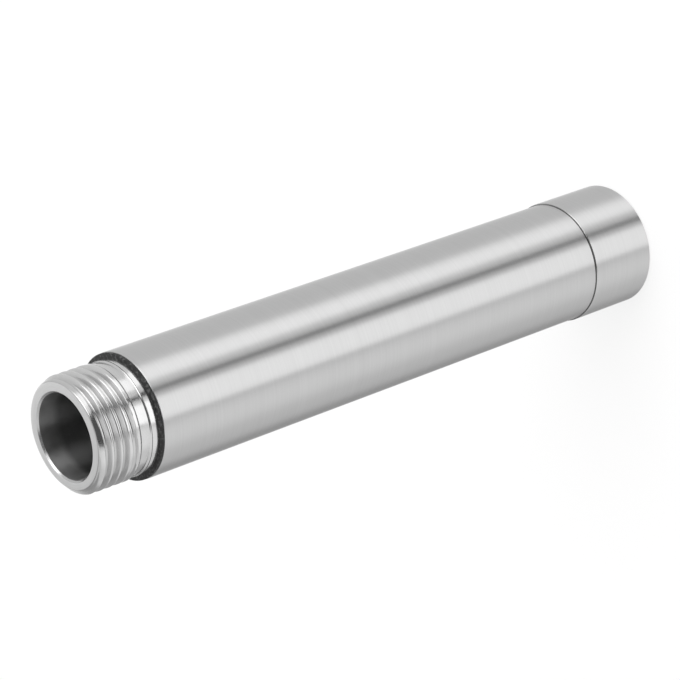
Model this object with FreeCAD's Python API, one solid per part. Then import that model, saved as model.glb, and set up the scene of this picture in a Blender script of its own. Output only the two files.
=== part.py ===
import FreeCAD
import Part
import math
import os
from FreeCAD import Placement, Rotation, Vector

# Shower arm extension, standing on the open face of its female end.
# The origin is at the centre of that face and the tube runs up along Z.
# All lengths are in millimetres and all angles in degrees.

# Outer tube
tube_outer_diameter = 22.8
tube_wall = 1.2
tube_length = 102.8
tube_edge_break = 0.2

# Half inch parallel pipe thread, male on the nipple and female in the socket
thread_major_diameter = 20.955
threads_per_inch = 14
thread_flank_angle = 55.0
inch = 25.4
blank_arcs = 8
cutter_overreach = 0.2
lead_in_turns = 0.75
seam_past_run_out = 30.0

# Threaded nipple
male_thread_length = 8.2
male_thread_start_angle = -160.0
run_out_turns = 0.6
thread_land = 0.45
tip_chamfer_length = 1.2
tip_chamfer_depth = 0.78
neck_step = 0.28
neck_length = 2.55
undercut_width = 0.55
undercut_depth = 0.2
shoulder_overlap = 0.35
shoulder_length = 0.95
shoulder_taper = 0.22
nipple_waterway_diameter = 15.4
nipple_waterway_chamfer = 0.35
nipple_shank_length = 16.0

# Front seal ring
seal_ring_thickness = 0.8
seal_ring_inset = 0.05

# Socket collar
collar_step = 0.25
least_socket_wall = 0.9
collar_length = 14.7
collar_edge_break = 0.2
collar_rim_chamfer = 0.35
female_thread_length = 9.0
female_entry_chamfer = 0.8
relief_length = 3.0
relief_extra_radius = 0.15
collar_waterway_diameter = 13.0
collar_shank_length = 14.0

# Socket washer
washer_thickness = 2.0
washer_clearance = 0.07
washer_inner_diameter = 12.4

# Shanks in the tube, with a film of sealing compound round each
shank_clearance = 0.05
shank_edge_chamfer = 0.6

# Thread form: a sharp triangle cut flat by a sixth of its height at crest and root
thread_pitch = inch / threads_per_inch
flank_slope = math.tan(math.radians(thread_flank_angle / 2))
sharp_height = thread_pitch / 2 / flank_slope
thread_depth = sharp_height * 2 / 3
crest_flat = thread_pitch / 6
thread_major_radius = thread_major_diameter / 2
thread_minor_radius = thread_major_radius - thread_depth
faded_turns = run_out_turns * thread_depth / (thread_depth + cutter_overreach)
full_depth_turns = (male_thread_length - thread_land) / thread_pitch - faded_turns

# Radii of the tube and of what goes into it. The shoulder overlaps the seal ring, which hugs the shank.
tube_radius = tube_outer_diameter / 2
tube_bore_radius = tube_radius - tube_wall
shank_radius = tube_bore_radius - shank_clearance
shoulder_radius = shank_radius + shoulder_overlap

# Radii at the threads. The collar stands a step proud of the tube, or more if its thread needs the wall.
neck_radius = thread_major_radius - neck_step
relief_radius = thread_major_radius + relief_extra_radius
collar_radius = max(tube_radius + collar_step, relief_radius + least_socket_wall)
washer_radius = thread_minor_radius - washer_clearance

# Heights along the axis
tube_bottom = collar_length
tube_top = tube_bottom + tube_length
shoulder_bottom = tube_top + seal_ring_thickness
shoulder_top = shoulder_bottom + shoulder_length
neck_top = shoulder_top + neck_length
nipple_top = neck_top + male_thread_length
nipple_bottom = tube_top - nipple_shank_length
thread_relief_bottom = female_entry_chamfer + female_thread_length
washer_seat = thread_relief_bottom + relief_length
collar_top = tube_bottom + collar_shank_length


def revolved(outline):
    """Turn a closed outline of (radius, height) points about the Z axis."""
    points = [Vector(radius, 0, height) for radius, height in outline]
    face = Part.Face(Part.makePolygon(points + points[:1]))
    return face.revolve(Vector(0, 0, 0), Vector(0, 0, 1), 360)


def turned_cylinder(radius, bottom, top):
    return Part.makeCylinder(radius, top - bottom, Vector(0, 0, bottom))


def circle_edges(shape, radius, height):
    """The round edges of a shape that have this radius and lie at this height."""
    found = []
    for edge in shape.Edges:
        round_edge = isinstance(edge.Curve, Part.Circle)
        if round_edge and abs(edge.Curve.Radius - radius) < 1e-4:
            if abs(edge.Curve.Center.z - height) < 1e-4:
                found.append(edge)
    return found


def thread_blank(radius, bottom, top, seam_angle):
    """A round blank whose side is made of equal arcs, so that each crest has short faces."""
    def on_circle(count):
        angle = math.radians(seam_angle + 360 * count / blank_arcs)
        return Vector(radius * math.cos(angle), radius * math.sin(angle), bottom)

    arcs = []
    for count in range(blank_arcs):
        arc = Part.Arc(on_circle(count), on_circle(count + 0.5), on_circle(count + 1))
        arcs.append(arc.toShape())
    return Part.Face(Part.Wire(arcs)).extrude(Vector(0, 0, top - bottom))


def groove_section():
    """The thread groove's section: a flat root and two flanks that open past the crest."""
    mouth_radius = thread_major_radius + cutter_overreach
    root_half = crest_flat / 2
    mouth_half = root_half + (mouth_radius - thread_minor_radius) * flank_slope
    corners = [
        Vector(thread_minor_radius, 0, -root_half),
        Vector(mouth_radius, 0, -mouth_half),
        Vector(mouth_radius, 0, mouth_half),
        Vector(thread_minor_radius, 0, root_half),
    ]
    return Part.makePolygon(corners + corners[:1])


def swept_groove(pitch, turns, cone_angle):
    """The groove's section swept up a right-hand helix, on a cylinder where the cone angle is 0."""
    helix = Part.makeLongHelix(pitch, turns * pitch, thread_minor_radius, cone_angle)
    return Part.Wire(helix.Edges).makePipeShell([groove_section()], True, True)


def thread_groove(turns):
    """A right-hand groove that crosses the end plane z = 0 at angle 0 and winds up from it."""
    groove = swept_groove(thread_pitch, turns + lead_in_turns, 0)
    groove.rotate(Vector(0, 0, 0), Vector(0, 0, 1), -360 * lead_in_turns)
    groove.translate(Vector(0, 0, -lead_in_turns * thread_pitch))
    return groove


def groove_run_out(turns):
    """The end of the groove, which goes on from it and rises out of the metal on a cone."""
    climb = thread_depth + cutter_overreach
    cone_angle = math.degrees(math.atan2(climb, run_out_turns * thread_pitch))
    slant_pitch = thread_pitch / math.cos(math.radians(cone_angle))
    run_out = swept_groove(slant_pitch, run_out_turns, cone_angle)
    run_out.rotate(Vector(0, 0, 0), Vector(0, 0, 1), 360 * turns)
    run_out.translate(Vector(0, 0, turns * thread_pitch))
    return run_out


def male_thread_blank():
    """The nipple's thread before it is cut, with a seam just past the place where the groove fades out."""
    fade_angle = male_thread_start_angle - 360 * (full_depth_turns + faded_turns)
    return thread_blank(thread_major_radius, neck_top, nipple_top, fade_angle + seam_past_run_out)


def cut_male_thread(shape):
    """Cut the nipple's thread from its tip down towards the neck."""
    tip_down = Rotation(Vector(1, 0, 0), 180)
    turned_to_start = Rotation(Vector(0, 0, 1), male_thread_start_angle)
    place = Placement(Vector(0, 0, nipple_top), turned_to_start * tip_down)
    for cutter in (thread_groove(full_depth_turns), groove_run_out(full_depth_turns)):
        cutter.Placement = place * cutter.Placement
        shape = shape.cut(cutter)
    return shape


def make_outer_tube():
    tube = turned_cylinder(tube_radius, tube_bottom, tube_top)
    tube = tube.cut(turned_cylinder(tube_bore_radius, tube_bottom, tube_top))
    rims = circle_edges(tube, tube_radius, tube_bottom) + circle_edges(tube, tube_radius, tube_top)
    return tube.makeChamfer(tube_edge_break, rims)


def make_thread_nipple():
    turned = revolved([
        (0, nipple_bottom),
        (shank_radius - shank_edge_chamfer, nipple_bottom),
        (shank_radius, nipple_bottom + shank_edge_chamfer),
        (shank_radius, shoulder_bottom),
        (shoulder_radius, shoulder_bottom),
        (shoulder_radius - shoulder_taper, shoulder_top),
        (neck_radius - undercut_depth, shoulder_top + undercut_depth),
        (neck_radius, shoulder_top + undercut_width),
        (neck_radius, neck_top - neck_step),
        (thread_major_radius, neck_top),
        (0, neck_top),
    ])
    body = turned.fuse(male_thread_blank())
    tip_chamfer = revolved([
        (thread_major_radius - tip_chamfer_depth, nipple_top),
        (thread_major_radius, nipple_top - tip_chamfer_length),
        (thread_major_radius + tip_chamfer_depth, nipple_top - tip_chamfer_length),
        (thread_major_radius + tip_chamfer_depth, nipple_top),
    ])
    body = body.cut(tip_chamfer)
    waterway_radius = nipple_waterway_diameter / 2
    waterway = revolved([
        (0, nipple_bottom),
        (waterway_radius, nipple_bottom),
        (waterway_radius, nipple_top - nipple_waterway_chamfer),
        (waterway_radius + nipple_waterway_chamfer, nipple_top),
        (0, nipple_top),
    ])
    return cut_male_thread(body.cut(waterway))


def make_front_seal_ring():
    ring = turned_cylinder(tube_radius - seal_ring_inset, tube_top, shoulder_bottom)
    return ring.cut(turned_cylinder(shank_radius, tube_top, shoulder_bottom))


def make_socket_collar():
    turned = revolved([
        (0, 0),
        (collar_radius - collar_rim_chamfer, 0),
        (collar_radius, collar_rim_chamfer),
        (collar_radius, tube_bottom - collar_edge_break),
        (collar_radius - collar_edge_break, tube_bottom),
        (shank_radius, tube_bottom),
        (shank_radius, collar_top - shank_edge_chamfer),
        (shank_radius - shank_edge_chamfer, collar_top),
        (0, collar_top),
    ])
    waterway_radius = collar_waterway_diameter / 2
    hollow = revolved([
        (0, 0),
        (thread_minor_radius + female_entry_chamfer, 0),
        (thread_minor_radius, female_entry_chamfer),
        (thread_minor_radius, thread_relief_bottom),
        (relief_radius, thread_relief_bottom),
        (relief_radius, washer_seat),
        (waterway_radius, washer_seat),
        (waterway_radius, collar_top),
        (0, collar_top),
    ])
    return turned.cut(hollow)


def make_socket_washer():
    bottom = washer_seat - washer_thickness
    washer = turned_cylinder(washer_radius, bottom, washer_seat)
    return washer.cut(turned_cylinder(washer_inner_diameter / 2, bottom, washer_seat))


pieces = {
    "outer_tube": make_outer_tube(),
    "thread_nipple": make_thread_nipple(),
    "front_seal_ring": make_front_seal_ring(),
    "socket_collar": make_socket_collar(),
    "socket_washer": make_socket_washer(),
}

os.makedirs("parts", exist_ok=True)
for name, shape in pieces.items():
    solid = shape.Solids[0]
    solid.exportStep("parts/" + name + ".step")
    print(name, "solids", len(shape.Solids), "valid", solid.isValid(), "volume", round(solid.Volume, 2))
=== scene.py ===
import math

import bmesh
import bpy
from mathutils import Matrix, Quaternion, Vector


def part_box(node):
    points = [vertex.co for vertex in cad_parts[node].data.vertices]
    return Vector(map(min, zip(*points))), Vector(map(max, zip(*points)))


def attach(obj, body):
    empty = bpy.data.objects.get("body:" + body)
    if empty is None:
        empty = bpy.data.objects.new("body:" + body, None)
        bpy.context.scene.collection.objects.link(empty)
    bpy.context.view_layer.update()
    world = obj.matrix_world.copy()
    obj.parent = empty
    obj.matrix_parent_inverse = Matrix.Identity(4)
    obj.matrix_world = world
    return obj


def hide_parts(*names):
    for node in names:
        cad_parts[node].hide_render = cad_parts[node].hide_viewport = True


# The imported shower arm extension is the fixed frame. It stands on its female end, with its axis on Z
# and its male thread up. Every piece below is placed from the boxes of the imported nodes, in metres.
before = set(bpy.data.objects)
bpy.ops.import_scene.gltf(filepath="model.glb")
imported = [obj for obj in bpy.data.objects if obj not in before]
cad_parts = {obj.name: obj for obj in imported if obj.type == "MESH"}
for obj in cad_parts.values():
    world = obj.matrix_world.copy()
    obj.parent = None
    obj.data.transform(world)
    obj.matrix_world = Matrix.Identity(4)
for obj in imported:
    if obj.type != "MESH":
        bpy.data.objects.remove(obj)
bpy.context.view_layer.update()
bpy.ops.object.select_all(action="DESELECT")
mm = 0.001


# The camera looks down on the male end from in front, through a long lens, and is rolled over until the
# tube runs from the lower left of the picture to its upper right.
aim_point = Vector((-0.2 * mm, 0, 69.0 * mm))
camera_distance = 507.9 * mm
camera_azimuth = math.radians(-89.97)
camera_elevation = math.radians(36.67)
camera_roll = math.radians(-109.68)
camera_lens = 149.22
camera_film_width = 36
nearest_seen = 0.01

towards_camera = Vector((
    math.cos(camera_elevation) * math.cos(camera_azimuth),
    math.cos(camera_elevation) * math.sin(camera_azimuth),
    math.sin(camera_elevation),
))
upright = towards_camera.to_track_quat("Z", "Y")
bpy.ops.object.camera_add(location=aim_point + camera_distance * towards_camera)
camera = bpy.context.object
camera.name = "camera"
camera.rotation_mode = "QUATERNION"
camera.rotation_quaternion = upright @ Quaternion((0, 0, 1), camera_roll)
camera.data.lens = camera_lens
camera.data.sensor_width = camera_film_width
camera.data.clip_start = nearest_seen
bpy.context.scene.camera = camera
bpy.context.scene.view_settings.view_transform = "Standard"


# The studio is a white room hung with upright soft panels and black strips, which the metal mirrors as
# bands along the tube. The camera itself sees only plain white behind the part.
class Graph:
    """The nodes of one material or of the world."""

    def __init__(self, tree):
        self.tree = tree
        tree.nodes.clear()

    def node(self, kind, settings=None, inputs=None, output=0):
        """Add a node, set its settings and its sockets, and return one of its outputs."""
        added = self.tree.nodes.new(kind)
        for name, setting in (settings or {}).items():
            setattr(added, name, setting)
        for name, value in (inputs or {}).items():
            if isinstance(value, Socket):
                self.tree.links.new(value.end, added.inputs[name])
            else:
                added.inputs[name].default_value = value
        return Socket(self, added.outputs[output]) if added.outputs else None


class Socket:
    """An output socket. Sums, differences and products of sockets add Math nodes."""

    def __init__(self, graph, end):
        self.graph = graph
        self.end = end

    def maths(self, operation, first, second=0.0):
        return self.graph.node("ShaderNodeMath", {"operation": operation}, {0: first, 1: second})

    def __add__(self, other):
        return self.maths("ADD", self, other)

    def __radd__(self, other):
        return self.maths("ADD", other, self)

    def __sub__(self, other):
        return self.maths("SUBTRACT", self, other)

    def __rsub__(self, other):
        return self.maths("SUBTRACT", other, self)

    def __mul__(self, other):
        return self.maths("MULTIPLY", self, other)

    def __rmul__(self, other):
        return self.maths("MULTIPLY", other, self)

    def __abs__(self):
        return self.maths("ABSOLUTE", self)

    def rise(self, low, high):
        """0 below low, 1 above high and a soft step between them."""
        settings = {"interpolation_type": "SMOOTHSTEP"}
        return self.graph.node("ShaderNodeMapRange", settings, {0: self, 1: low, 2: high})


# The room's light is 1 where it is plain white. Heights in it run from -1 straight down to 1 straight up.
room_level = 0.78
panels_fade = (0.80, 0.98)
ceiling_dims = (0.7, 0.95)
ceiling_drop = 0.1
# Each panel or strip: azimuth of its middle, half its width, softness of its edges, and its light
room_panels = (
    (-32.0, 15.5, 4.0, 0.60),
    (-98.0, 20.0, 4.0, 0.70),
    (-147.0, 18.0, 32.0, 0.23),
    (77.0, 8.0, 12.0, 0.45),
    (-65.0, 2.8, 5.0, -0.77),
    (-123.0, 1.2, 2.4, -0.16),
    (130.0, 8.0, 36.0, -0.38),
)
# The dark camera and the high lamp: azimuth, half width and softness, then the heights of foot and head
camera_outline = (-100.0, 33.0, 8.0)
camera_foot = (0.05, 0.22)
camera_head = (0.84, 0.96)
camera_darkness = 0.93
high_lamp_outline = (-30.0, 34.0, 5.0)
high_lamp_foot = (0.55, 0.62)
high_lamp_head = (0.76, 0.82)
high_lamp_light = 2.0

world = bpy.data.worlds.new("studio_room")
bpy.context.scene.world = world
world.use_nodes = True
room = Graph(world.node_tree)
direction = room.node("ShaderNodeTexCoord", output="Generated")
flattened = room.node("ShaderNodeVectorMath", {"operation": "MULTIPLY"}, {0: direction, 1: (1, 1, 0)})
level_direction = room.node("ShaderNodeVectorMath", {"operation": "NORMALIZE"}, {0: flattened})
height = room.node("ShaderNodeSeparateXYZ", inputs={0: direction}, output="Z")


def upright_panel(azimuth, half_width, softness):
    """1 within a panel that stands all the way up the room, and 0 beside it."""
    middle = (math.cos(math.radians(azimuth)), math.sin(math.radians(azimuth)), 0)
    nearness = room.node(
        "ShaderNodeVectorMath", {"operation": "DOT_PRODUCT"}, {0: level_direction, 1: middle}, "Value"
    )
    outer_edge = math.cos(math.radians(half_width + softness / 2))
    inner_edge = math.cos(math.radians(max(half_width - softness / 2, 0)))
    return nearness.rise(outer_edge, inner_edge)


def hung_panel(outline, foot, head):
    """1 within a panel that reaches only from its foot to its head, and 0 round it."""
    return upright_panel(*outline) * height.rise(*foot) * (1 - height.rise(*head))


panels = 0.0
for azimuth, half_width, softness, light in room_panels:
    panels = panels + upright_panel(azimuth, half_width, softness) * light
room_light = room_level + panels * (1 - abs(height).rise(*panels_fade))
room_light = room_light - height.rise(*ceiling_dims) * ceiling_drop
room_light = room_light * (1 - hung_panel(camera_outline, camera_foot, camera_head) * camera_darkness)
room_light = room_light + hung_panel(high_lamp_outline, high_lamp_foot, high_lamp_head) * high_lamp_light
seen_by_camera = room.node("ShaderNodeLightPath", output="Is Camera Ray")
seen_through_glass = room.node("ShaderNodeLightPath", output="Is Transmission Ray")
seen_plainly = seen_by_camera + seen_through_glass
shown = room_light * (1 - seen_plainly) + seen_plainly
background = room.node("ShaderNodeBackground", inputs={"Color": (1, 1, 1, 1), "Strength": shown})
room.node("ShaderNodeOutputWorld", inputs={"Surface": background})


# The floor is plain white and keeps the part's soft shadow. The metal mirrors the room's panels and not
# the floor, as a part does that is photographed on a raised glass shelf. A wide lamp hangs over it.
floor_size = 30.0
floor_colour = (0.95, 0.95, 0.95, 1)
floor_own_light = 0.75
lamp_place = Vector((0.3, -0.3, 1.2))
lamp_size = 1.0
lamp_watts = 8.0


def new_material(name):
    """A new material and the empty graph of its nodes."""
    material = bpy.data.materials.new(name)
    material.use_nodes = True
    return material, Graph(material.node_tree)


bpy.ops.mesh.primitive_plane_add(size=floor_size, location=(0, 0, 0))
floor = bpy.context.object
floor.name = "floor"
floor.visible_glossy = False
floor.visible_shadow = False
white_floor, floor_nodes = new_material("white_floor")
matt = floor_nodes.node("ShaderNodeBsdfDiffuse", inputs={"Color": floor_colour})
glow = floor_nodes.node("ShaderNodeEmission", inputs={"Color": (1, 1, 1, 1)})
camera_sees = floor_nodes.node("ShaderNodeLightPath", output="Is Camera Ray")
glass_shows = floor_nodes.node("ShaderNodeLightPath", output="Is Transmission Ray")
glow_share = (camera_sees + glass_shows) * floor_own_light
whitened = floor_nodes.node("ShaderNodeMixShader", inputs={0: glow_share, 1: matt, 2: glow})
floor_nodes.node("ShaderNodeOutputMaterial", inputs={"Surface": whitened})
floor.data.materials.append(white_floor)

bpy.ops.object.light_add(type="AREA", location=lamp_place)
lamp = bpy.context.object
lamp.name = "soft_box"
lamp.visible_glossy = False
lamp.data.size = lamp_size
lamp.data.energy = lamp_watts
lamp.rotation_euler = lamp_place.to_track_quat("Z", "Y").to_euler()


# The tube is drawn stainless steel, brushed round and round, with a wall of its own and both rims
# broken with a fine file. The collar's and the nipple's shanks are pressed into it.
ring_steps = 256
rounding_parts = 3
merge_distance = 0.001 * mm
crease_angle = math.radians(30)
tube_wall = 1.2 * mm
tube_rim_rounding = 0.18 * mm


def first_ring(name, radius, height):
    """Start a turned piece as an open circle and stay in edit mode."""
    bpy.ops.object.select_all(action="DESELECT")
    bpy.ops.mesh.primitive_circle_add(vertices=ring_steps, radius=radius, location=(0, 0, height))
    piece = bpy.context.object
    piece.name = name
    bpy.ops.object.transform_apply()
    bpy.ops.object.mode_set(mode="EDIT")
    return piece


def extrude_ring(place_of):
    """Extrude the open edge that is selected, each point to where place_of puts it."""
    bpy.ops.mesh.extrude_region_move()
    mesh = bpy.context.object.data
    for vertex in bmesh.from_edit_mesh(mesh).verts:
        if vertex.select:
            vertex.co = place_of(Vector((vertex.co.x, vertex.co.y, 0)))
    bmesh.update_edit_mesh(mesh)


def next_ring(radius, height):
    """Extrude the open edge that is selected to a circle of this radius at this height."""
    extrude_ring(lambda outwards: radius * outwards.normalized() + Vector((0, 0, height)))


def sleeve(name, radius, hole_radius, bottom, top):
    """A round sleeve with square edges, still in edit mode."""
    piece = first_ring(name, radius, bottom)
    next_ring(radius, top)
    next_ring(hole_radius, top)
    next_ring(hole_radius, bottom)
    next_ring(radius, bottom)
    return piece


def select_edges(wanted):
    """Select only the edges that wanted says yes to."""
    bpy.ops.mesh.select_all(action="DESELECT")
    mesh = bpy.context.object.data
    for edge in bmesh.from_edit_mesh(mesh).edges:
        if wanted(edge):
            edge.select_set(True)
    bmesh.update_edit_mesh(mesh)


def at_height(edge, height):
    return all(abs(end.co.z - height) < merge_distance for end in edge.verts)


def on_circle(edge, radius, height):
    at_radius = all(abs(math.hypot(end.co.x, end.co.y) - radius) < merge_distance for end in edge.verts)
    return at_radius and at_height(edge, height)


def close_and_round(circles, width):
    """Join the rings' ends, turn the faces outwards and round the edges on these circles."""
    bpy.ops.mesh.select_all(action="SELECT")
    bpy.ops.mesh.remove_doubles(threshold=merge_distance)
    bpy.ops.mesh.normals_make_consistent(inside=False)
    bpy.ops.mesh.select_mode(type="EDGE")
    select_edges(lambda edge: any(on_circle(edge, radius, height) for radius, height in circles))
    bpy.ops.mesh.bevel(offset=width, segments=rounding_parts, affect="EDGES")
    bpy.ops.mesh.select_mode(type="VERT")


def finish_shading():
    """Leave edit mode with smooth faces, whose shading follows the wide faces and not the fine ones."""
    bpy.ops.object.mode_set(mode="OBJECT")
    bpy.ops.object.shade_smooth_by_angle(angle=crease_angle)
    bpy.ops.object.modifier_add(type="WEIGHTED_NORMAL")
    weighted = bpy.context.object.modifiers[-1]
    weighted.keep_sharp = True
    bpy.ops.object.modifier_apply(modifier=weighted.name)


tube_low, tube_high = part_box("outer_tube")
tube_radius = tube_high.x
tube_bore_radius = tube_radius - tube_wall
tube_rims = (
    (tube_radius, tube_low.z),
    (tube_radius, tube_high.z),
    (tube_bore_radius, tube_low.z),
    (tube_bore_radius, tube_high.z),
)
tube = sleeve("tube_body", tube_radius, tube_bore_radius, tube_low.z, tube_high.z)
close_and_round(tube_rims, tube_rim_rounding)
finish_shading()

steel_colour = 0.595
steel_roughness = 0.32
brushing_stretch = 0.9
round_the_axis = 0.25
stroke_scale = Vector((14.0, 14.0, 2600.0))
stroke_contrast = 0.08
stroke_roughness = 0.05
stroke_strength = 0.05
stroke_depth = 0.02 * mm
band_scale = Vector((9.0, 9.0, 420.0))
band_contrast = 0.04
# The seam between tube and collar is painted dark in its depth as shade, and its rounded lips are
# burnished
seam_painted_shade = 0.35
seam_painted_shade_ends = (0.02 * mm, 0.08 * mm)
seam_gloss = 0.4
seam_gloss_ends = (0.12 * mm, 0.25 * mm)


def grey(nodes, shade):
    """A colour whose three parts are all this shade."""
    return nodes.node("ShaderNodeCombineColor", None, {0: shade, 1: shade, 2: shade})


def brushed_steel(name):
    """Steel brushed round its axis: fine lines across the tube, over slower bands of them."""
    material, nodes = new_material(name)
    place = nodes.node("ShaderNodeTexCoord", output="Object")

    def strokes(scale):
        stretched = nodes.node("ShaderNodeVectorMath", {"operation": "MULTIPLY"}, {0: place, 1: scale})
        noise = {"Vector": stretched, "Scale": 1.0, "Detail": 2.0}
        return nodes.node("ShaderNodeTexNoise", None, noise)

    fine = strokes(stroke_scale)
    slow = strokes(band_scale)
    from_seam = abs(nodes.node("ShaderNodeSeparateXYZ", inputs={0: place}, output="Z") - tube_low.z)
    # Painted shade: the steel's colour darkens in the depth of the seam between tube and collar
    painted_seam_shade = seam_painted_shade + from_seam.rise(*seam_painted_shade_ends) * (1 - seam_painted_shade)
    seam_smooth = seam_gloss + from_seam.rise(*seam_gloss_ends) * (1 - seam_gloss)
    brushed = steel_colour + (fine - 0.5) * stroke_contrast + (slow - 0.5) * band_contrast
    grooves = nodes.node("ShaderNodeBump", None, {
        "Strength": stroke_strength,
        "Distance": stroke_depth,
        "Height": fine,
    })
    metal = nodes.node("ShaderNodeBsdfPrincipled", None, {
        "Base Color": grey(nodes, brushed * painted_seam_shade),
        "Metallic": 1.0,
        "Roughness": (steel_roughness + (fine - 0.5) * stroke_roughness) * seam_smooth,
        "Anisotropic": brushing_stretch,
        "Anisotropic Rotation": round_the_axis,
        "Normal": grooves,
    })
    nodes.node("ShaderNodeOutputMaterial", None, {"Surface": metal})
    return material


tube.data.materials.append(brushed_steel("brushed_steel"))
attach(tube, "root")
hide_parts("outer_tube")


# The collar is turned from the same steel and brushed with the tube. It stands a hair proud of it, and
# inside it has the female half inch thread, a relief behind that, and a seat for the washer.
inch = 25.4
threads_per_inch = 14
thread_major_diameter = 20.955
thread_angle = 55
crest_rounding_share = 0.137329
thread_pitch = inch / threads_per_inch * mm
thread_major_radius = thread_major_diameter / 2 * mm
flank_angle = math.radians(thread_angle / 2)
thread_depth = thread_pitch / 2 / math.tan(flank_angle) * 2 / 3
thread_minor_radius = thread_major_radius - thread_depth
sharp_root_radius = thread_minor_radius - thread_depth / 4

# Each crest is a round top of this radius, which meets the flanks at this reach and drop
thread_rounding = crest_rounding_share * thread_pitch
arc_reach = thread_rounding * math.cos(flank_angle)
arc_drop = thread_rounding * (1 - math.sin(flank_angle))
arc_parts = 4
flank_parts = 5

shank_clearance = 0.05 * mm
shank_edge_chamfer = 0.6 * mm
collar_waterway_radius = 6.5 * mm
collar_rim_chamfer = 0.35 * mm
seam_rounding = 0.2 * mm
entry_chamfer = 0.8 * mm
thread_relief_bottom = 9.8 * mm
washer_seat = 12.8 * mm
relief_radius = thread_major_radius + 0.15 * mm


def thread_radius(from_crest, root_rounding):
    """The radius of the round-topped thread form, this far along the axis from the middle of a crest."""
    from_root = thread_pitch / 2 - from_crest
    if from_crest < arc_reach:
        return thread_major_radius - thread_rounding + math.sqrt(thread_rounding ** 2 - from_crest ** 2)
    if from_root < root_rounding * math.cos(flank_angle):
        root_middle = sharp_root_radius + root_rounding / math.sin(flank_angle)
        return root_middle - math.sqrt(root_rounding ** 2 - from_root ** 2)
    return thread_major_radius - arc_drop - (from_crest - arc_reach) / math.tan(flank_angle)


def thread_rows():
    """Heights over one pitch at which the thread's rows of faces meet, close together on its arcs."""
    half_pitch = thread_pitch / 2
    arc_rows = []
    for part in range(arc_parts):
        arc_rows.append(thread_rounding * math.sin(part / arc_parts * (math.pi / 2 - flank_angle)))
    flank_rows = []
    for part in range(flank_parts + 1):
        flank_rows.append(arc_reach + part / flank_parts * (half_pitch - 2 * arc_reach))
    rows = arc_rows + flank_rows + [half_pitch - row for row in reversed(arc_rows)]
    return rows + [thread_pitch - row for row in reversed(rows[1:-1])]


def threaded_wall(name, bottom, top, start_angle, start_height, radius_at):
    """A round wall in edit mode whose rows of faces wind with the thread, and which ends flat."""
    bpy.ops.object.select_all(action="DESELECT")
    bpy.ops.mesh.primitive_plane_add(size=1)
    wall = bpy.context.object
    wall.name = name
    mesh = bmesh.new()
    groove_height = start_height - start_angle / math.tau * thread_pitch
    first = math.floor((bottom - groove_height) / thread_pitch) - 1
    last = math.ceil((top - groove_height) / thread_pitch) + 1
    previous = None
    for turn in range(first, last):
        for row in thread_rows():
            vertex = mesh.verts.new((thread_major_radius, 0, groove_height + turn * thread_pitch + row))
            if previous:
                mesh.edges.new((previous, vertex))
            previous = vertex
    mesh.to_mesh(wall.data)
    mesh.free()
    bpy.ops.object.modifier_add(type="SCREW")
    screw = wall.modifiers[-1]
    screw.screw_offset = thread_pitch
    screw.steps = ring_steps
    screw.render_steps = ring_steps
    bpy.ops.object.modifier_apply(modifier=screw.name)
    bpy.ops.object.mode_set(mode="EDIT")
    for vertex in bmesh.from_edit_mesh(wall.data).verts:
        height = min(max(vertex.co.z, bottom), top)
        angle = math.atan2(vertex.co.y, vertex.co.x)
        turns = (start_height - height) / thread_pitch + (angle - start_angle) / math.tau
        radius = radius_at(height, turns - round(turns))
        vertex.co = (radius * math.cos(angle), radius * math.sin(angle), height)
    bmesh.update_edit_mesh(wall.data)
    bpy.ops.mesh.select_all(action="SELECT")
    bpy.ops.mesh.remove_doubles(threshold=merge_distance)
    bpy.ops.mesh.dissolve_degenerate(threshold=merge_distance)
    return wall


def select_open_edge(height):
    """Select the open edge of the wall at this height."""
    select_edges(lambda edge: edge.is_boundary and at_height(edge, height))


def join_open_edges():
    """Bridge the two open edges that are left."""
    select_edges(lambda edge: edge.is_boundary)
    bpy.ops.mesh.bridge_edge_loops()


collar_low, collar_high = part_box("socket_collar")
collar_radius = collar_high.x
shank_radius = tube_bore_radius - shank_clearance


def socket_wall_radius(height, part_turn):
    """The female thread, opened out at its mouth by the entry chamfer's cone."""
    cone = thread_minor_radius + entry_chamfer - height
    return max(thread_radius(abs(part_turn) * thread_pitch, thread_rounding), cone)


collar = threaded_wall("socket_collar_body", collar_low.z, thread_relief_bottom, 0, 0, socket_wall_radius)
select_open_edge(thread_relief_bottom)
next_ring(relief_radius, thread_relief_bottom)
next_ring(relief_radius, washer_seat)
next_ring(collar_waterway_radius, washer_seat)
next_ring(collar_waterway_radius, collar_high.z)
next_ring(shank_radius - shank_edge_chamfer, collar_high.z)
next_ring(shank_radius, collar_high.z - shank_edge_chamfer)
next_ring(shank_radius, tube_low.z)
next_ring(collar_radius, tube_low.z)
next_ring(collar_radius, collar_low.z + collar_rim_chamfer)
next_ring(collar_radius - collar_rim_chamfer, collar_low.z)
join_open_edges()
close_and_round([(collar_radius, tube_low.z)], seam_rounding)
finish_shading()
collar.data.materials.append(brushed_steel("brushed_collar_steel"))
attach(collar, "root")
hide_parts("socket_collar")


# The nipple is brass, turned and threaded, then plated bright. Its end face keeps the lathe's rings,
# and its shank goes down into the tube as far as the shoulder.
shoulder_overlap = 0.35 * mm
shoulder_length = 0.95 * mm
shoulder_taper = 0.22 * mm
neck_length = 2.55 * mm
neck_step = 0.28 * mm
foot_inset = 0.16 * mm
foot_top = 1.5 * mm
# The fillet at the neck's foot starts this share of its radius above the shoulder and sweeps down to it
foot_fillet = 0.5 * mm
foot_start_share = 0.9
foot_sweep = math.radians(60)
foot_parts = 6
nipple_waterway_radius = 7.7 * mm
mouth_chamfer = 0.35 * mm
tip_chamfer_length = 1.2 * mm
tip_chamfer_depth = 0.78 * mm
tip_rounding = 0.45 * mm
tip_rounding_steps = 5
nipple_edge_rounding = 0.12 * mm
groove_start_angle = math.radians(-160)
run_out_turns = 0.6
run_out_overreach = 0.2 * mm
thread_land = 0.45 * mm
nipple_root_rounding = 0.4 * mm

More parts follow.
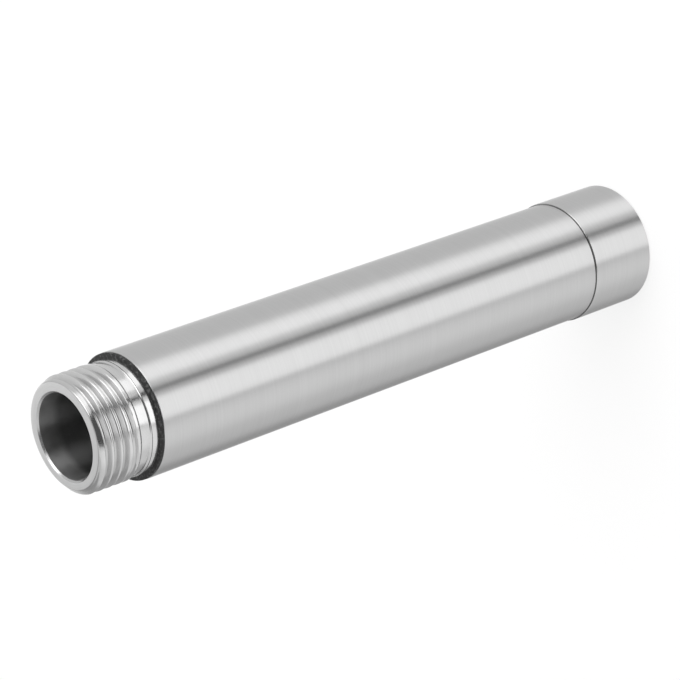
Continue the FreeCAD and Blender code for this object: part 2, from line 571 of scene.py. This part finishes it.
nipple_low, nipple_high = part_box("thread_nipple")
ring_low, ring_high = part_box("front_seal_ring")
nipple_tip = nipple_high.z
shoulder_bottom = ring_high.z
shoulder_top = shoulder_bottom + shoulder_length
shoulder_radius = shank_radius + shoulder_overlap
neck_top = shoulder_top + neck_length
neck_radius = thread_major_radius - neck_step
foot_radius = neck_radius - foot_inset
run_out_climb = thread_depth + run_out_overreach
faded_turns = run_out_turns * thread_depth / run_out_climb
full_turns = (nipple_tip - neck_top - thread_land) / thread_pitch - faded_turns
chamfer_slope = math.atan2(tip_chamfer_depth, tip_chamfer_length)
wall_top = nipple_tip - tip_rounding * (1 - math.sin(chamfer_slope))


def nipple_wall_radius(height, part_turn):
    """The thread, which runs out towards the neck, under the cone of the tip's chamfer."""
    groove_turns = (nipple_tip - height) / thread_pitch - part_turn
    climbed = max(0, groove_turns - full_turns) / run_out_turns * run_out_climb
    thread = thread_radius((0.5 - abs(part_turn)) * thread_pitch, nipple_root_rounding) + climbed
    below_tip = (nipple_tip - height) / tip_chamfer_length
    cone = thread_major_radius - tip_chamfer_depth * (1 - below_tip)
    return min(thread, thread_major_radius, cone)


def shrink_ring(inwards, height):
    """Extrude the open edge that is selected, each point this far towards the axis, to this height."""
    extrude_ring(lambda outwards: outwards - inwards * outwards.normalized() + Vector((0, 0, height)))


nipple = threaded_wall(
    "thread_nipple_body", neck_top, wall_top, groove_start_angle, nipple_tip, nipple_wall_radius
)
select_open_edge(wall_top)
tilt = chamfer_slope
for step in range(tip_rounding_steps):
    next_tilt = tilt + (math.pi / 2 - chamfer_slope) / tip_rounding_steps
    inwards = tip_rounding * (math.cos(tilt) - math.cos(next_tilt))
    shrink_ring(inwards, nipple_tip - tip_rounding * (1 - math.sin(next_tilt)))
    tilt = next_tilt
select_open_edge(neck_top)
next_ring(neck_radius, neck_top - neck_step)
next_ring(neck_radius, shoulder_top + foot_top)
for step in range(foot_parts + 1):
    tilt = step / foot_parts * foot_sweep
    ring_radius = foot_radius + foot_fillet * (1 - math.cos(tilt))
    next_ring(ring_radius, shoulder_top + foot_fillet * (foot_start_share - math.sin(tilt)))
next_ring(shoulder_radius - shoulder_taper, shoulder_top)
next_ring(shoulder_radius, shoulder_bottom)
next_ring(shank_radius, shoulder_bottom)
next_ring(shank_radius, nipple_low.z + shank_edge_chamfer)
next_ring(shank_radius - shank_edge_chamfer, nipple_low.z)
next_ring(nipple_waterway_radius, nipple_low.z)
next_ring(nipple_waterway_radius, nipple_tip - mouth_chamfer)
next_ring(nipple_waterway_radius + mouth_chamfer, nipple_tip)
join_open_edges()
nipple_edges = (
    (thread_major_radius, neck_top),
    (neck_radius, neck_top - neck_step),
    (shoulder_radius - shoulder_taper, shoulder_top),
)
close_and_round(nipple_edges, nipple_edge_rounding)
finish_shading()

plating_level = 0.68
plating_roughness = 0.16
cloud_scale = 700.0
cloud_contrast = 0.06
cloud_roughness = 0.1
cloud_strength = 0.3
cloud_depth = 0.05 * mm
lathe_mark_scale = 4200.0
lathe_mark_drift = 0.05
lathe_mark_contrast = 0.12
lathe_mark_strength = 0.4
lathe_mark_depth = 0.03 * mm
end_face_depths = (0.03 * mm, 0.01 * mm)
end_face_shade = -0.07
end_face_roughness = 0.2
# Painted shade darkens the plating in the thread's roots, which are also rougher
painted_root_shade = 0.2
root_roughness = 0.07
# The drilled waterway is dull, painted dark as shade in its depth, and painted a little paler near its
# mouth as light that falls in
painted_bore_shade_level = 0.22
painted_mouth_light_level = 0.4
bore_mouth_depths = (4.8 * mm, 3.0 * mm)
bore_edge = 0.08 * mm
drilled_roughness = 0.44
drilled_cloud_roughness = 0.2
drilled_stretch = 0.9

bright_plating, plate = new_material("bright_plating")
place = plate.node("ShaderNodeTexCoord", output="Object")
across = plate.node("ShaderNodeVectorMath", {"operation": "MULTIPLY"}, {0: place, 1: (1, 1, 0)})
from_axis = plate.node("ShaderNodeVectorMath", {"operation": "LENGTH"}, {0: across}, "Value")
up_axis = plate.node("ShaderNodeSeparateXYZ", inputs={0: place}, output="Z")
turned_place = plate.node("ShaderNodeCombineXYZ", None, {0: from_axis, 2: up_axis})
drifting = plate.node("ShaderNodeVectorMath", {"operation": "MULTIPLY_ADD"}, {
    0: place,
    1: (lathe_mark_drift, lathe_mark_drift, 0),
    2: turned_place,
})
turning = {"Vector": drifting, "Scale": lathe_mark_scale, "Detail": 2.0}
lathe_marks = plate.node("ShaderNodeTexNoise", None, turning)
clouding = {"Vector": place, "Scale": cloud_scale, "Detail": 3.0}
cloudy = plate.node("ShaderNodeTexNoise", None, clouding)

in_bore = 1 - from_axis.rise(nipple_waterway_radius, nipple_waterway_radius + bore_edge)
near_mouth = up_axis.rise(nipple_tip - bore_mouth_depths[0], nipple_tip - bore_mouth_depths[1])
on_end_face = up_axis.rise(nipple_tip - end_face_depths[0], nipple_tip - end_face_depths[1])
in_roots = (1 - from_axis.rise(thread_minor_radius, thread_major_radius)) * (1 - on_end_face)
face_marks = on_end_face * ((lathe_marks - 0.5) * lathe_mark_contrast + end_face_shade)
bright = plating_level + (cloudy - 0.5) * cloud_contrast + face_marks
# Painted shade: the colour darkens towards the thread's roots
bright = bright * (1 - in_roots * painted_root_shade)
# Painted shade darkens the waterway's wall, and painted light makes it paler towards the mouth
bore_painted_light_and_shade = painted_bore_shade_level + near_mouth * (painted_mouth_light_level - painted_bore_shade_level)
tint = grey(plate, bright + (bore_painted_light_and_shade - bright) * in_bore)
rough = plating_roughness + (cloudy - 0.5) * cloud_roughness
rough = rough + on_end_face * end_face_roughness + in_roots * root_roughness
waviness = plate.node("ShaderNodeBump", None, {
    "Strength": cloud_strength,
    "Distance": cloud_depth,
    "Height": cloudy,
})
marks = plate.node("ShaderNodeBump", None, {
    "Strength": lathe_mark_strength,
    "Distance": lathe_mark_depth,
    "Height": lathe_marks,
    "Normal": waviness,
})
plated = plate.node("ShaderNodeBsdfPrincipled", None, {
    "Base Color": tint,
    "Metallic": 1.0,
    "Roughness": rough,
    "Normal": marks,
})
drilled = plate.node("ShaderNodeBsdfPrincipled", None, {
    "Base Color": tint,
    "Metallic": 1.0,
    "Roughness": drilled_roughness + (cloudy - 0.5) * drilled_cloud_roughness,
    "Anisotropic": drilled_stretch,
    "Anisotropic Rotation": round_the_axis,
})
whole = plate.node("ShaderNodeMixShader", None, {0: in_bore, 1: plated, 2: drilled})
plate.node("ShaderNodeOutputMaterial", None, {"Surface": whole})
nipple.data.materials.append(bright_plating)
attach(nipple, "root")
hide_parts("thread_nipple")


# The front seal is a flat ring of black rubber, nipped between the nipple's shoulder and the tube.
# Its outer edges are round, and a little dust clings to it.
seal_rounding = 0.2 * mm
seal_level = 0.012
rubber_roughness = 0.5
rubber_shine = 0.3
grain_scale = 2500.0
grain_roughness = 0.3
pore_strength = 0.3
pore_depth = 0.05 * mm
dust_scale = 1700.0
dust_spread = (0.48, 0.7)
dust_level = 0.06

seal_radius = ring_high.x
seal = sleeve("front_seal", seal_radius, shank_radius, ring_low.z, ring_high.z)
close_and_round([(seal_radius, ring_low.z), (seal_radius, ring_high.z)], seal_rounding)
finish_shading()


def black_rubber(name, level):
    """Rubber of this shade, with a fine grain all over and dust in patches."""
    material, nodes = new_material(name)
    place = nodes.node("ShaderNodeTexCoord", output="Object")
    grain = nodes.node("ShaderNodeTexNoise", None, {"Vector": place, "Scale": grain_scale, "Detail": 3.0})
    dust = nodes.node("ShaderNodeTexNoise", None, {"Vector": place, "Scale": dust_scale, "Detail": 3.0})
    pores = nodes.node("ShaderNodeBump", None, {
        "Strength": pore_strength,
        "Distance": pore_depth,
        "Height": grain,
    })
    rubber = nodes.node("ShaderNodeBsdfPrincipled", None, {
        "Base Color": grey(nodes, level + (grain - 0.5) * level + dust.rise(*dust_spread) * dust_level),
        "Roughness": rubber_roughness + (grain - 0.5) * grain_roughness,
        "Specular IOR Level": rubber_shine,
        "Normal": pores,
    })
    nodes.node("ShaderNodeOutputMaterial", None, {"Surface": rubber})
    return material


seal.data.materials.append(black_rubber("seal_rubber", seal_level))
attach(seal, "root")
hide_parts("front_seal_ring")


# The washer is the flat black rubber ring on the seat in the socket, which seals on the shower arm.
# It is cut from sheet, and its lower edges are a little rounded.
washer_hole_radius = 6.2 * mm
washer_rounding = 0.25 * mm
washer_level = 0.025

washer_low, washer_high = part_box("socket_washer")
washer_radius = washer_high.x
washer = sleeve("socket_washer_body", washer_radius, washer_hole_radius, washer_low.z, washer_high.z)
close_and_round([(washer_radius, washer_low.z), (washer_hole_radius, washer_low.z)], washer_rounding)
finish_shading()
washer.data.materials.append(black_rubber("washer_rubber", washer_level))
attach(washer, "root")
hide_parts("socket_washer")
